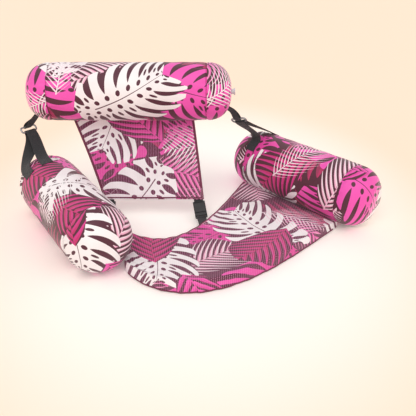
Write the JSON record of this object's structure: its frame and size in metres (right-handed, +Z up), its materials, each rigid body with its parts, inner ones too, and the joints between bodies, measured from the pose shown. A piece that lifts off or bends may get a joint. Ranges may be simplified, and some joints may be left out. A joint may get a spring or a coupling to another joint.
{
  "type": "inflatable pool chair",
  "caption": "Floating pool chair: inflatable back and arm bolsters in printed covers, a mesh sling seat, a hanging back panel, webbing with rings and side-release buckles",
  "frame": {"origin": "centre of the bounding box at the level the chair stands on", "axes": "+Z up; -Y the chair's open front; +X to the right in the picture, along the back bolster"},
  "size_m": [1.1826, 0.7827, 0.4846],
  "materials": {
    "printed_satin": "satin woven cover, printed with tropical leaves in pinks on plum",
    "printed_mesh": "open ribbed mesh cloth with the same print",
    "clear_vinyl": "thin soft vinyl air bladder, hidden inside the cover",
    "white_vinyl": "soft white vinyl valve",
    "black_webbing": "flat woven black webbing",
    "black_plastic": "moulded black buckle plastic, softly matt",
    "silver_ring": "silver-grey wire ring"
  },
  "bodies": {
    "seat": {"left_arm_sleeve": "printed_satin", "left_arm_near_cap": "printed_satin", "left_arm_far_cap": "printed_satin", "left_arm_bladder": "clear_vinyl", "right_arm_sleeve": "printed_satin", "right_arm_near_cap": "printed_satin", "right_arm_far_cap": "printed_satin", "right_arm_bladder": "clear_vinyl", "seat_sling": "printed_mesh", "left_side_strap": "black_webbing", "left_seat_strap": "black_webbing", "left_buckle_plug": "black_plastic", "right_side_strap": "black_webbing", "right_seat_strap": "black_webbing", "right_buckle_plug": "black_plastic"},
    "back": {"back_sleeve": "printed_satin", "back_near_cap": "printed_satin", "back_far_cap": "printed_satin", "back_bladder": "clear_vinyl", "back_panel": "printed_mesh", "left_side_tab": "black_webbing", "right_side_tab": "black_webbing", "left_panel_strap": "black_webbing", "right_panel_strap": "black_webbing"},
    "left_ring": {"left_side_ring": "silver_ring"},
    "left_socket": {"left_buckle_socket": "black_plastic"},
    "left_prong_a": {"left_buckle_prong_a": "black_plastic"},
    "left_prong_b": {"left_buckle_prong_b": "black_plastic"},
    "right_ring": {"right_side_ring": "silver_ring"},
    "right_socket": {"right_buckle_socket": "black_plastic"},
    "right_prong_a": {"right_buckle_prong_a": "black_plastic"},
    "right_prong_b": {"right_buckle_prong_b": "black_plastic"},
    "left_arm_stem": {"left_arm_valve_stem": "white_vinyl"},
    "left_arm_stopper": {"left_arm_valve_cap": "white_vinyl"},
    "right_arm_stem": {"right_arm_valve_stem": "white_vinyl"},
    "right_arm_stopper": {"right_arm_valve_cap": "white_vinyl"},
    "back_stem": {"back_valve_stem": "white_vinyl"},
    "back_stopper": {"back_valve_cap": "white_vinyl"}
  },
  "joints": [
    {"name": "back_fold", "type": "hinge", "parent": "seat", "child": "back", "pos_m": [-0.1489, 0.0505, 0.062], "axis": [-1, 0, 0], "range_deg": [-20, 20], "deforming": ["left_side_strap", "right_side_strap", "left_panel_strap", "right_panel_strap"]},
    {"name": "left_buckle_release", "type": "slide", "parent": "seat", "child": "left_socket", "axis": [-0.0095, 0.8104, 0.5858], "range_m": [0, 0.03], "deforming": ["left_panel_strap", "left_buckle_prong_a", "left_buckle_prong_b"]},
    {"name": "left_prong_a_squeeze", "type": "hinge", "parent": "seat", "child": "left_prong_a", "pos_m": [-0.31085, 0.01715, 0.02752], "axis": [0, 0.5859, -0.8104], "range_deg": [0, 13], "stiffness_Nm_per_rad": 0.05},
    {"name": "left_prong_b_squeeze", "type": "hinge", "parent": "seat", "child": "left_prong_b", "pos_m": [-0.28306, 0.01736, 0.02768], "axis": [0, -0.5859, 0.8104], "range_deg": [0, 13], "stiffness_Nm_per_rad": 0.05},
    {"name": "left_ring_swing", "type": "hinge", "parent": "back", "child": "left_ring", "pos_m": [-0.57037, 0.16466, 0.27461], "axis": [0.6816, 0.7317, 0], "range_deg": [-20, 20], "deforming": ["left_side_strap"]},
    {"name": "right_buckle_release", "type": "slide", "parent": "seat", "child": "right_socket", "axis": [-0.1739, 0.8151, 0.5526], "range_m": [0, 0.03], "deforming": ["right_panel_strap", "right_buckle_prong_a", "right_buckle_prong_b"]},
    {"name": "right_prong_a_squeeze", "type": "hinge", "parent": "seat", "child": "right_prong_a", "pos_m": [-0.00755, 0.01482, 0.02766], "axis": [0, 0.5611, -0.8277], "range_deg": [0, 13], "stiffness_Nm_per_rad": 0.05},
    {"name": "right_prong_b_squeeze", "type": "hinge", "parent": "seat", "child": "right_prong_b", "pos_m": [0.01983, 0.01882, 0.03038], "axis": [0, -0.5611, 0.8277], "range_deg": [0, 13], "stiffness_Nm_per_rad": 0.05},
    {"name": "right_ring_swing", "type": "hinge", "parent": "back", "child": "right_ring", "pos_m": [0.1302, 0.20649, 0.2874], "axis": [0.8003, -0.5302, 0.2801], "range_deg": [-20, 20], "deforming": ["right_side_strap"]},
    {"name": "left_arm_stem_push", "type": "slide", "parent": "seat", "child": "left_arm_stem", "axis": [0.527, -0.8499, 0], "range_m": [0, 0.006]},
    {"name": "left_arm_stopper_open", "type": "hinge", "parent": "left_arm_stem", "child": "left_arm_stopper", "pos_m": [-0.53019, 0.16388, 0.0982], "axis": [-0.0833, -0.0517, -0.9952], "range_deg": [0, 120]},
    {"name": "right_arm_stem_push", "type": "slide", "parent": "seat", "child": "right_arm_stem", "axis": [0.6909, -0.723, 0], "range_m": [0, 0.006]},
    {"name": "right_arm_stopper_open", "type": "hinge", "parent": "right_arm_stem", "child": "right_arm_stopper", "pos_m": [0.16859, 0.3723, 0.0982], "axis": [-0.0709, -0.0677, -0.9952], "range_deg": [0, 120]},
    {"name": "back_stem_push", "type": "slide", "parent": "back", "child": "back_stem", "axis": [-1, 0, 0], "range_m": [0, 0.006]},
    {"name": "back_stopper_open", "type": "hinge", "parent": "back_stem", "child": "back_stopper", "pos_m": [0.1159, 0.15707, 0.39168], "axis": [0, 0.098, -0.9952], "range_deg": [0, 120]}
  ],
  "couplings": [
    {"joint": "left_prong_b_squeeze", "follows": "left_prong_a_squeeze", "ratio": 1},
    {"joint": "right_prong_b_squeeze", "follows": "right_prong_a_squeeze", "ratio": 1}
  ]
}
